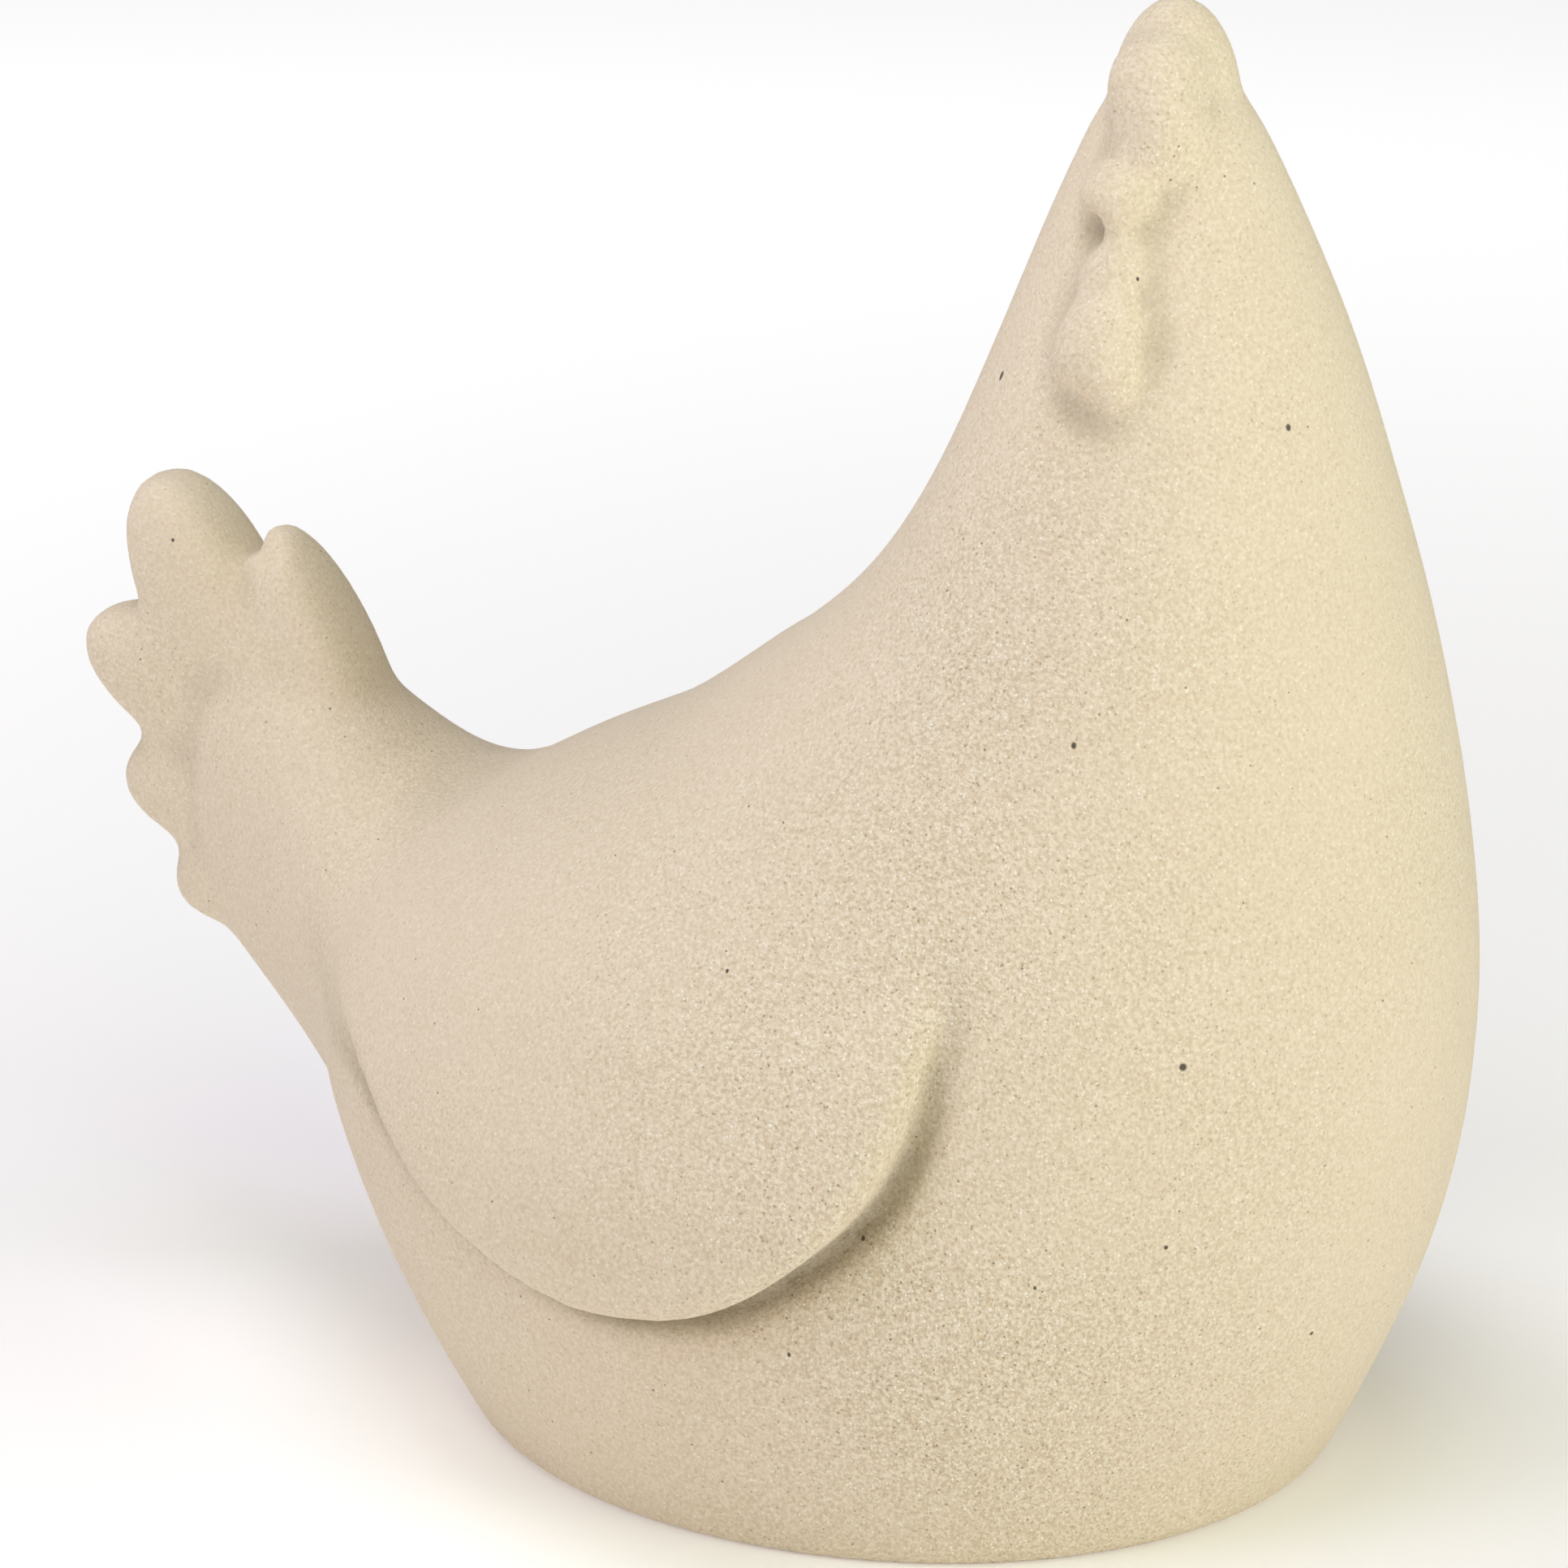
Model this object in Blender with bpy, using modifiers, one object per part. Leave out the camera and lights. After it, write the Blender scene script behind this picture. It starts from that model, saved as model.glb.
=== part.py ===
"""Hen figurine, cast hollow in one piece from sandy stoneware.

The hen sits on a flat oval foot, with its chest at +X and its fan tail at -X. The head is turned a
quarter circle, so that comb, beak and wattle face -Y. The origin is the middle of the foot.
All sizes are in metres.
"""
import math

import bmesh
import bpy
import numpy as np
from mathutils import Matrix, Vector

# Body and neck: height, chest side, back side and half width of each level oval.
# The first oval lies below the foot, where the form is cut off flat.
BODY_SECTIONS = (
    (-0.006, 0.0430, -0.0440, 0.0392),
    (0.000, 0.0468, -0.0476, 0.0424),
    (0.010, 0.0514, -0.0545, 0.0450),
    (0.024, 0.0571, -0.0616, 0.0480),
    (0.040, 0.0606, -0.0660, 0.0500),
    (0.054, 0.0614, -0.0610, 0.0486),
    (0.068, 0.0604, -0.0408, 0.0415),
    (0.075, 0.0594, -0.0270, 0.0377),
    (0.082, 0.0581, -0.0172, 0.0340),
    (0.094, 0.0553, -0.0030, 0.0292),
    (0.106, 0.0517, 0.0048, 0.0250),
    (0.120, 0.0476, 0.0106, 0.0192),
    (0.134, 0.0420, 0.0158, 0.0132),
    (0.148, 0.0354, 0.0215, 0.0072),
)

# Tail root: place along X, underside, top and half width of each upright oval
TAIL_SECTIONS = (
    (-0.086, 0.0405, 0.0780, 0.0070),
    (-0.076, 0.0315, 0.0780, 0.0100),
    (-0.067, 0.0240, 0.0735, 0.0150),
    (-0.059, 0.0180, 0.0665, 0.0210),
    (-0.053, 0.0155, 0.0630, 0.0260),
    (-0.045, 0.0140, 0.0612, 0.0310),
    (-0.030, 0.0140, 0.0550, 0.0360),
)

# Base of the fan, with the blunt edge that rises from the back: columns as in the tail root
FAN_SECTIONS = (
    (-0.0800, 0.0600, 0.0820, 0.0064),
    (-0.0765, 0.0500, 0.0812, 0.0070),
    (-0.0718, 0.0450, 0.0772, 0.0076),
    (-0.0668, 0.0400, 0.0720, 0.0082),
    (-0.0615, 0.0350, 0.0672, 0.0090),
    (-0.0555, 0.0300, 0.0638, 0.0104),
    (-0.0480, 0.0300, 0.0612, 0.0125),
)

# Tail feathers, front to rear: tip in X and Z, direction above level in degrees, half width, half
# thickness and squareness of the section
FEATHERS = (
    (-0.0773, 0.0877, 119, 0.0040, 0.0064, 2.3),
    (-0.0918, 0.0912, 117, 0.0073, 0.0062, 3.5),
    (-0.1006, 0.0728, 158, 0.0071, 0.0060, 3.5),
    (-0.0963, 0.0564, 179, 0.0074, 0.0060, 3.5),
    (-0.0897, 0.0435, 204, 0.0073, 0.0060, 3.5),
)
FEATHER_HALF_LENGTH = 0.015
FAN_SQUARENESS = 2.6

# Wings: outline in the side view, and how far they stand out from the body. A wing stands out fully
# WING_FADE_HEIGHT below a line from the rear to the front point, and is sunk above that line.
WING_OUTLINE = (
    (-0.064, 0.0560),
    (-0.044, 0.0418),
    (-0.026, 0.0314),
    (-0.0065, 0.0278),
    (0.0110, 0.0352),
    (0.0220, 0.0525),
    (0.0185, 0.0750),
    (-0.015, 0.0860),
    (-0.054, 0.0760),
)
WING_RELIEF = 0.005
WING_SINK = 0.001
WING_FADE_HEIGHT = 0.034
WING_FADE_REAR = (-0.050, 0.058)
WING_FADE_FRONT = (0.025, 0.072)

# Groove round the wings: depth at the wing's edge and the width over which it runs out, of the narrow
# cut that follows the whole edge and of the wide hollow towards the chest
CUT_DEPTH = 0.0030
CUT_WIDTH = 0.0024
VALLEY_DEPTH = 0.0018
VALLEY_WIDTH = 0.0090
VALLEY_REAR = -0.015
VALLEY_FRONT = 0.018

# Head: centre, half sizes along X, Y and Z, and turn about X in degrees of each rounded form
HEAD_FORMS = {
    "comb_rear": ((0.0282, 0.0005, 0.1430), (0.0067, 0.0068, 0.0121), 0),
    "comb_front": ((0.0286, -0.0040, 0.1466), (0.0053, 0.0056, 0.0060), 0),
    "comb_root": ((0.0299, -0.0066, 0.1420), (0.0050, 0.0050, 0.0076), 0),
    "beak": ((0.0275, -0.0104, 0.1374), (0.0042, 0.0050, 0.0034), 15),
    "wattle_root": ((0.0284, -0.0142, 0.1285), (0.0034, 0.0030, 0.0072), -15),
    "wattle": ((0.0287, -0.0172, 0.1230), (0.0050, 0.0042, 0.0066), -20),
}

# Nooks pressed in under comb, beak and wattle and between the front feathers: place, radius and depth
NOOKS = (
    ((0.0272, -0.0102, 0.1436), 0.0022, 0.0008),
    ((0.0258, -0.0136, 0.1348), 0.0022, 0.0026),
    ((0.0262, -0.0202, 0.1196), 0.0024, 0.0016),
    ((0.0285, -0.0210, 0.1186), 0.0028, 0.0020),
    ((0.0335, -0.0180, 0.1245), 0.0030, 0.0007),
    ((-0.0768, -0.0046, 0.0862), 0.0024, 0.0014),
)

# Radius of the sponged edge round the foot
FOOT_ROUNDING = 0.0013

# Casting: thickness of the wall, ends of the hollow in the neck and in the tail, and the drain hole,
# which lies towards the chest so that the middle of the foot is clay
WALL = 0.006
HOLLOW_TOP = 0.124
HOLLOW_TAIL = -0.066
DRAIN_RADIUS = 0.010
DRAIN_PLACE = 0.022

# Fineness: points and rings of a loft, splits of a rounded form, voxel size of each fused form
RING_POINTS = 96
RINGS = 60
PEBBLE_SPLITS = 4
DRAIN_SIDES = 48
TRUNK_VOXEL = 0.0020
FAN_VOXEL = 0.0013
WING_VOXEL = 0.0010
HEN_VOXEL = 0.0009
HOLLOW_VOXEL = 0.0030

# Smoothing steps of each fused form, how far each step goes, and the triangles that are left
TRUNK_STEPS = 40
FAN_STEPS = 8
WING_STEPS = 8
HEN_STEPS = 5
HOLLOW_STEPS = 12
SOFTENING = 0.5
OUTER_TRIANGLES = 9400
HOLLOW_TRIANGLES = 1500

# Cutters reach CLEARANCE past what they cut. Points of an outline closer than SAME_POINT are one point.
CLEARANCE = 0.02
SAME_POINT = 0.00001

STONEWARE_COLOUR = (0.72, 0.61, 0.45, 1.0)
STONEWARE_ROUGHNESS = 0.75


def new_collection(name):
    collection = bpy.data.collections.new(name)
    bpy.context.scene.collection.children.link(collection)
    return collection


def mesh_object(name, work, collection):
    """Put a bmesh into a new object, and free it."""
    mesh = bpy.data.meshes.new(name)
    work.to_mesh(mesh)
    work.free()
    item = bpy.data.objects.new(name, mesh)
    collection.objects.link(item)
    return item


def hide_guide(item):
    item.hide_render = True
    item.display_type = "WIRE"


def evaluated_mesh(item):
    bpy.context.view_layer.update()
    evaluated = item.evaluated_get(bpy.context.evaluated_depsgraph_get())
    mesh = bpy.data.meshes.new_from_object(evaluated)
    mesh.transform(item.matrix_world)
    return mesh


def smooth_between(table, places):
    """Read the columns of a table at the given places, on smooth curves that don't overshoot."""
    table = np.array(table)
    at, values = table[:, 0], table[:, 1:]
    step = np.diff(at)[:, None]
    rise = np.diff(values, axis=0) / step
    product = rise[:-1] * rise[1:]
    total = np.where(product > 0, rise[:-1] + rise[1:], 1)
    inner = np.where(product > 0, 2 * product / total, 0)
    slope = np.concatenate([rise[:1], inner, rise[-1:]])
    index = np.clip(np.searchsorted(at, places) - 1, 0, len(at) - 2)
    span = step[index]
    part = (places - at[index])[:, None] / span
    start = (1 + 2 * part) * (1 - part) ** 2 * values[index]
    start_slope = part * (1 - part) ** 2 * span * slope[index]
    end = part ** 2 * (3 - 2 * part) * values[index + 1]
    end_slope = part ** 2 * (part - 1) * span * slope[index + 1]
    return start + start_slope + end + end_slope


def loft(name, rings, collection):
    """Skin a row of closed rings, with a flat cap at each end."""
    work = bmesh.new()
    rows = [[work.verts.new(point) for point in ring] for ring in rings]
    for low, high in zip(rows, rows[1:]):
        for place in range(len(low)):
            after = (place + 1) % len(low)
            work.faces.new((low[place], low[after], high[after], high[place]))
    work.faces.new(rows[0][::-1])
    work.faces.new(rows[-1])
    bmesh.ops.recalc_face_normals(work, faces=work.faces)
    return mesh_object(name, work, collection)


def level_rings(heights, chest, back, half_width, relief=None):
    """Level ovals, one at each height. relief adds to the half width, by place and height."""
    turn = np.linspace(0, 2 * math.pi, RING_POINTS, endpoint=False)
    for height, front, rear, side in zip(heights, chest, back, half_width):
        along = (front + rear) / 2 + (front - rear) / 2 * np.cos(turn)
        reach = side if relief is None else side + relief(along, height)
        yield [(x, y, height) for x, y in zip(along, reach * np.sin(turn))]


def upright_rings(places, under, top, half_width, squareness=2.0):
    """Rings across the tail, one at each place along X: ovals, or squarer where squareness is over 2."""
    turn = np.linspace(0, 2 * math.pi, RING_POINTS, endpoint=False)
    across = np.sign(np.cos(turn)) * np.abs(np.cos(turn)) ** (2 / squareness)
    upward = np.sign(np.sin(turn)) * np.abs(np.sin(turn)) ** (2 / squareness)
    for place, low, high, side in zip(places, under, top, half_width):
        middle, reach = (high + low) / 2, (high - low) / 2
        yield [(place, side * y, middle + reach * z) for y, z in zip(across, upward)]


def body_form(name, collection, relief=None):
    """Body and neck as one loft."""
    heights = np.linspace(BODY_SECTIONS[0][0], BODY_SECTIONS[-1][0], RINGS)
    chest, back, half_width = smooth_between(BODY_SECTIONS, heights).T
    return loft(name, level_rings(heights, chest, back, half_width, relief), collection)


def tail_form(name, table, collection, squareness=2.0):
    """The tail root or the fan's base, as one loft along X."""
    places = np.linspace(table[0][0], table[-1][0], RINGS)
    under, top, half_width = smooth_between(table, places).T
    return loft(name, upright_rings(places, under, top, half_width, squareness), collection)


def pebble(name, centre, half_sizes, turn, collection, squareness=2.0):
    """A sphere scaled to its half sizes, with flat sides along Y where squareness is over 2."""
    work = bmesh.new()
    bmesh.ops.create_icosphere(work, subdivisions=PEBBLE_SPLITS, radius=1)
    for vertex in work.verts:
        outward = math.hypot(vertex.co.x, vertex.co.z)
        across = abs(vertex.co.y)
        vertex.co *= (outward ** squareness + across ** squareness) ** (-1 / squareness)
    place = Matrix.Translation(Vector(centre)) @ turn @ Matrix.Diagonal((*half_sizes, 1))
    bmesh.ops.transform(work, matrix=place, verts=work.verts)
    return mesh_object(name, work, collection)


def tail_feathers(collection):
    """The fan's lobes, each with its long axis pointing at its tip."""
    lobes = []
    for number, feather in enumerate(FEATHERS, 1):
        tip_x, tip_z, direction, half_width, half_thickness, squareness = feather
        angle = math.radians(direction)
        along = Vector((math.cos(angle), 0, math.sin(angle)))
        centre = Vector((tip_x, 0, tip_z)) - along * FEATHER_HALF_LENGTH
        half_sizes = (FEATHER_HALF_LENGTH, half_thickness, half_width)
        turn = Matrix.Rotation(-angle, 4, "Y")
        lobes.append(pebble(f"feather_{number}", centre, half_sizes, turn, collection, squareness))
    return lobes


def wing_share(along, height):
    """How much of its relief a wing has at a place along X and a height, from 0 to 1."""
    rear, rear_top = WING_FADE_REAR
    front, front_top = WING_FADE_FRONT
    top = rear_top + (along - rear) * (front_top - rear_top) / (front - rear)
    part = np.clip((top - height) / WING_FADE_HEIGHT, 0, 1)
    return part * part * (3 - 2 * part)


def wing_relief(along, height):
    """How far a wing stands out at a place along X and a height."""
    return (WING_RELIEF + WING_SINK) * wing_share(along, height) - WING_SINK


def wing_outline(collection):
    """The wings' side view, pushed through the whole body."""
    outline = bpy.data.curves.new("wing_curve", "CURVE")
    outline.dimensions = "2D"
    outline.fill_mode = "BOTH"
    outline.extrude = max(section[3] for section in BODY_SECTIONS) + CLEARANCE
    spline = outline.splines.new("BEZIER")
    spline.bezier_points.add(len(WING_OUTLINE) - 1)
    spline.use_cyclic_u = True
    for point, (x, z) in zip(spline.bezier_points, WING_OUTLINE):
        point.co = (x, z, 0)
        point.handle_left_type = "AUTO"
        point.handle_right_type = "AUTO"
    curve = bpy.data.objects.new("wing_curve", outline)
    collection.objects.link(curve)
    curve.rotation_euler.x = math.pi / 2
    work = bmesh.new()
    work.from_mesh(evaluated_mesh(curve))
    bpy.data.objects.remove(curve)
    bmesh.ops.remove_doubles(work, verts=work.verts, dist=SAME_POINT)
    bmesh.ops.recalc_face_normals(work, faces=work.faces)
    return mesh_object("wing_outline", work, collection)


def both_wings(outline, collection):
    """A wider copy of the body, kept only inside the wings' outline, with rounded edges."""
    wings = body_form("wings", collection, wing_relief)
    cut = wings.modifiers.new("outline", "BOOLEAN")
    cut.operation = "INTERSECT"
    cut.object = outline
    return fuse("round_wings", [wings], WING_VOXEL, WING_STEPS, collection)


def head_forms(collection):
    """Comb, beak and wattle."""
    forms = []
    for name, (centre, half_sizes, turn) in HEAD_FORMS.items():
        rotation = Matrix.Rotation(math.radians(turn), 4, "X")
        forms.append(pebble(name, centre, half_sizes, rotation, collection))
    return forms


def fuse(name, items, voxel, steps, collection):
    """Melt overlapping forms into one skin, with fillets where they meet."""
    work = bmesh.new()
    for item in items:
        work.from_mesh(evaluated_mesh(item))
    fused = mesh_object(name, work, collection)
    melt = fused.modifiers.new("melt", "REMESH")
    melt.mode = "VOXEL"
    melt.voxel_size = voxel
    soften = fused.modifiers.new("soften", "SMOOTH")
    soften.factor = SOFTENING
    soften.iterations = steps
    return fused


def press(name, item, depth, collection):
    """A copy of a form with each point pressed in by depth, which is worked out from its place."""
    mesh = evaluated_mesh(item)
    points = np.array([vertex.co for vertex in mesh.vertices])
    outward = np.array([vertex.normal for vertex in mesh.vertices])
    points -= outward * depth(points, outward)[:, None]
    mesh.vertices.foreach_set("co", points.ravel())
    pressed = bpy.data.objects.new(name, mesh)
    collection.objects.link(pressed)
    return pressed


def groove_depth(outline):
    """The depth of the groove at any place, given the wings' outline."""
    edge = np.array([(vertex.co.x, vertex.co.z) for vertex in outline.data.vertices if vertex.co.y > 0])

    def depth(points, outward):
        away = np.array([((edge - place) ** 2).sum(axis=1).min() for place in points[:, [0, 2]]])
        part = np.clip((points[:, 0] - VALLEY_REAR) / (VALLEY_FRONT - VALLEY_REAR), 0, 1)
        valley = VALLEY_DEPTH * part * part * (3 - 2 * part) * np.exp(-away / VALLEY_WIDTH ** 2)
        groove = CUT_DEPTH * np.exp(-away / CUT_WIDTH ** 2) + valley
        return groove * np.abs(outward[:, 1]) * wing_share(points[:, 0], points[:, 2])

    return depth


def nook_depth(points, outward):
    """The depth of the nooks at any place."""
    total = np.zeros(len(points))
    for place, radius, depth in NOOKS:
        total += depth * np.exp(-((points - place) ** 2).sum(axis=1) / radius ** 2)
    return total


def round_foot(item):
    """Draw a skin in towards the ground, in a quarter round."""
    points = np.array([vertex.co for vertex in item.data.vertices])
    drop = np.clip(FOOT_ROUNDING - points[:, 2], 0, FOOT_ROUNDING)
    inset = FOOT_ROUNDING - np.sqrt(FOOT_ROUNDING ** 2 - drop ** 2)
    points[:, :2] *= (1 - inset / np.hypot(points[:, 0], points[:, 1]))[:, None]
    item.data.vertices.foreach_set("co", points.ravel())
    item.data.update()


def thin_out(item, triangles):
    """Reduce a fused form to a number of triangles."""
    work = bmesh.new()
    work.from_mesh(evaluated_mesh(item))
    bmesh.ops.triangulate(work, faces=work.faces)
    thin = item.modifiers.new("thin", "DECIMATE")
    thin.ratio = triangles / len(work.faces)
    work.free()


def inset_sections(table, start, end):
    """The columns of a loft at places from start to end, and one wall before and after each."""
    places = np.linspace(start, end, RINGS)
    first, last = table[0][0], table[-1][0]
    shifts = (-WALL, 0, WALL)
    near = np.array([smooth_between(table, np.clip(places + shift, first, last)) for shift in shifts])
    return places, near.min(axis=0), near.max(axis=0)


def hollow_form(collection):
    """The space that the slip leaves when it is poured out: one wall inside body and tail root."""
    heights, least, most = inset_sections(BODY_SECTIONS, WALL, HOLLOW_TOP)
    rings = level_rings(heights, least[:, 0] - WALL, most[:, 1] + WALL, least[:, 2] - WALL)
    body = loft("body_hollow", rings, collection)
    places, least, most = inset_sections(TAIL_SECTIONS, HOLLOW_TAIL, TAIL_SECTIONS[-1][0])
    rings = upright_rings(places, most[:, 0] + WALL, least[:, 1] - WALL, least[:, 2] - WALL)
    tail = loft("tail_hollow", rings, collection)
    hollow = fuse("hollow", [body, tail], HOLLOW_VOXEL, HOLLOW_STEPS, collection)
    thin_out(hollow, HOLLOW_TRIANGLES)
    return hollow


def below_foot(collection):
    """A block with its top at the ground."""
    reach = 2 * (BODY_SECTIONS[0][1] + CLEARANCE)
    work = bmesh.new()
    place = Matrix.Translation((0, 0, -CLEARANCE / 2)) @ Matrix.Diagonal((reach, reach, CLEARANCE, 1))
    bmesh.ops.create_cube(work, matrix=place)
    return mesh_object("below_foot", work, collection)


def drain(collection):
    """The hole in the foot that the slip ran out of."""
    work = bmesh.new()
    bmesh.ops.create_cone(work, cap_ends=True, segments=DRAIN_SIDES, radius1=DRAIN_RADIUS,
                          radius2=DRAIN_RADIUS, depth=2 * CLEARANCE,
                          matrix=Matrix.Translation((DRAIN_PLACE, 0, 0)))
    return mesh_object("drain", work, collection)


def cut_away(item, cutter):
    cut = item.modifiers.new(cutter.name, "BOOLEAN")
    cut.operation = "DIFFERENCE"
    cut.object = cutter


def stoneware():
    material = bpy.data.materials.new("stoneware")
    material.use_nodes = True
    shader = material.node_tree.nodes["Principled BSDF"]
    shader.inputs["Base Color"].default_value = STONEWARE_COLOUR
    shader.inputs["Roughness"].default_value = STONEWARE_ROUGHNESS
    shader.inputs["Metallic"].default_value = 0.0
    return material


for old in list(bpy.data.objects):
    bpy.data.objects.remove(old)
figurine = new_collection("hen_figurine")
cutters = new_collection("cutters")

outline = wing_outline(cutters)
trunk_forms = [body_form("body", cutters), tail_form("tail_root", TAIL_SECTIONS, cutters)]
trunk = fuse("trunk", trunk_forms, TRUNK_VOXEL, TRUNK_STEPS, cutters)
fan = tail_form("fan", FAN_SECTIONS, cutters, FAN_SQUARENESS)
tailed = fuse("tailed", [trunk, fan, *tail_feathers(cutters)], FAN_VOXEL, FAN_STEPS, cutters)
grooved = press("grooved", tailed, groove_depth(outline), cutters)
skin_forms = [grooved, both_wings(outline, cutters), *head_forms(cutters)]
skin = fuse("skin", skin_forms, HEN_VOXEL, HEN_STEPS, cutters)
hen = press("hen", skin, nook_depth, figurine)
round_foot(hen)
thin_out(hen, OUTER_TRIANGLES)
for cutter in (below_foot(cutters), hollow_form(cutters), drain(cutters)):
    cut_away(hen, cutter)
for item in cutters.objects:
    hide_guide(item)
hen.data.materials.append(stoneware())
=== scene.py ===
import math

import bmesh
import bpy
import numpy as np
from mathutils import Matrix, Vector


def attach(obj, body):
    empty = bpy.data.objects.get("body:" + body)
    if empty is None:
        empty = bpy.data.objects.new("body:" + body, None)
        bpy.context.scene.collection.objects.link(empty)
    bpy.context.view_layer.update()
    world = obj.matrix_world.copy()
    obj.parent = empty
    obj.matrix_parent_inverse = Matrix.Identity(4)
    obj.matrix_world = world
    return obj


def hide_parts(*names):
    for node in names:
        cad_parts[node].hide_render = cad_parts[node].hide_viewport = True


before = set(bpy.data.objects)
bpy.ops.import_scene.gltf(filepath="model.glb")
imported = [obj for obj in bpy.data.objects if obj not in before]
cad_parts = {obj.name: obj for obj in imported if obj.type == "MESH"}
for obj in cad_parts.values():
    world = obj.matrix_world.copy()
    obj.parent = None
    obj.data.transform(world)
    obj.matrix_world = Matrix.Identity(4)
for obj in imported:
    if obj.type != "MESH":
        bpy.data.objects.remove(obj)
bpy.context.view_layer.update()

# Camera
# The photo was taken from the side of the turned face, 27 degrees round towards the chest and a little
# from above, with a long lens. The image's middle lies behind the wing, just above the hen's middle.
CAMERA_TURN = math.radians(27)
CAMERA_RISE = math.radians(19)
CAMERA_DISTANCE = 0.650
CAMERA_TARGET = Vector((-0.01474, 0, 0.06693))
CAMERA_LENS = 141.65
SENSOR_WIDTH = 36

towards_camera = Vector((
    math.sin(CAMERA_TURN) * math.cos(CAMERA_RISE),
    -math.cos(CAMERA_TURN) * math.cos(CAMERA_RISE),
    math.sin(CAMERA_RISE),
))
camera_data = bpy.data.cameras.new("camera")
camera_data.lens = CAMERA_LENS
camera_data.sensor_width = SENSOR_WIDTH
camera_data.clip_start = 0.01
camera = bpy.data.objects.new("camera", camera_data)
camera.location = CAMERA_TARGET + towards_camera * CAMERA_DISTANCE
camera.rotation_euler = towards_camera.to_track_quat("Z", "Y").to_euler()
bpy.context.scene.collection.objects.link(camera)
bpy.context.scene.camera = camera
bpy.context.scene.view_settings.view_transform = "Standard"

# Hen
# The real one is a single hollow casting of sandy stoneware, slip cast in a plaster mould, sponged
# smooth, and fired with a thin matt glaze in which the sand shows. It stands on its flat foot.

# Body and neck: height, chest side, back side and half width of each level oval
BODY_SECTIONS = (
    (-0.006, 0.0430, -0.0440, 0.0392),
    (0.000, 0.0468, -0.0476, 0.0424),
    (0.010, 0.0514, -0.0545, 0.0450),
    (0.024, 0.0571, -0.0616, 0.0480),
    (0.040, 0.0606, -0.0660, 0.0500),
    (0.054, 0.0614, -0.0610, 0.0486),
    (0.068, 0.0604, -0.0408, 0.0415),
    (0.075, 0.0594, -0.0270, 0.0377),
    (0.082, 0.0581, -0.0172, 0.0340),
    (0.094, 0.0553, -0.0030, 0.0292),
    (0.106, 0.0517, 0.0048, 0.0250),
    (0.120, 0.0476, 0.0106, 0.0192),
    (0.134, 0.0420, 0.0158, 0.0132),
    (0.148, 0.0354, 0.0215, 0.0072),
)

# Tail root: place along X, underside, top and half width of each upright oval
TAIL_SECTIONS = (
    (-0.086, 0.0405, 0.0780, 0.0070),
    (-0.076, 0.0315, 0.0780, 0.0100),
    (-0.067, 0.0240, 0.0735, 0.0150),
    (-0.059, 0.0180, 0.0665, 0.0210),
    (-0.053, 0.0155, 0.0630, 0.0260),
    (-0.045, 0.0140, 0.0612, 0.0310),
    (-0.030, 0.0140, 0.0550, 0.0360),
)

# Base of the fan, with the blunt edge that rises from the back: columns as in the tail root
FAN_SECTIONS = (
    (-0.0800, 0.0600, 0.0820, 0.0064),
    (-0.0765, 0.0500, 0.0812, 0.0070),
    (-0.0718, 0.0450, 0.0772, 0.0076),
    (-0.0668, 0.0400, 0.0720, 0.0082),
    (-0.0615, 0.0350, 0.0672, 0.0090),
    (-0.0555, 0.0300, 0.0638, 0.0104),
    (-0.0480, 0.0300, 0.0612, 0.0125),
)

# Tail feathers, front to rear: tip in X and Z, direction above level in degrees, half width, half
# thickness and squareness of the section
FEATHERS = (
    (-0.0773, 0.0877, 119, 0.0040, 0.0064, 2.3),
    (-0.0918, 0.0912, 117, 0.0073, 0.0062, 3.5),
    (-0.1006, 0.0728, 158, 0.0071, 0.0060, 3.5),
    (-0.0963, 0.0564, 179, 0.0074, 0.0060, 3.5),
    (-0.0897, 0.0435, 204, 0.0073, 0.0060, 3.5),
)
FEATHER_HALF_LENGTH = 0.015
FAN_SQUARENESS = 2.6

# Wings: outline in the side view, and how far they stand out from the body. A wing stands out fully
# WING_FADE_HEIGHT below a line from the rear to the front point, and is sunk above that line.
WING_OUTLINE = (
    (-0.064, 0.0560),
    (-0.044, 0.0418),
    (-0.026, 0.0314),
    (-0.0065, 0.0278),
    (0.0110, 0.0352),
    (0.0220, 0.0525),
    (0.0185, 0.0750),
    (-0.015, 0.0860),
    (-0.054, 0.0760),
)
WING_RELIEF = 0.005
WING_SINK = 0.001
WING_FADE_HEIGHT = 0.034
WING_FADE_REAR = (-0.050, 0.058)
WING_FADE_FRONT = (0.025, 0.072)

# Groove round the wings: depth at the wing's edge and the width over which it runs out, of the narrow
# cut that follows the whole edge and of the wide hollow towards the chest
CUT_DEPTH = 0.0030
CUT_WIDTH = 0.0024
VALLEY_DEPTH = 0.0018
VALLEY_WIDTH = 0.0090
VALLEY_REAR = -0.015
VALLEY_FRONT = 0.018

# Head: centre, half sizes along X, Y and Z, and turn about X in degrees of each rounded form
HEAD_FORMS = {
    "comb_rear": ((0.0282, 0.0005, 0.1430), (0.0067, 0.0068, 0.0121), 0),
    "comb_front": ((0.0286, -0.0040, 0.1466), (0.0053, 0.0056, 0.0060), 0),
    "comb_root": ((0.0299, -0.0066, 0.1420), (0.0050, 0.0050, 0.0076), 0),
    "beak": ((0.0275, -0.0104, 0.1374), (0.0042, 0.0050, 0.0034), 15),
    "wattle_root": ((0.0284, -0.0142, 0.1285), (0.0034, 0.0030, 0.0072), -15),
    "wattle": ((0.0287, -0.0172, 0.1230), (0.0050, 0.0042, 0.0066), -20),
}

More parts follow.
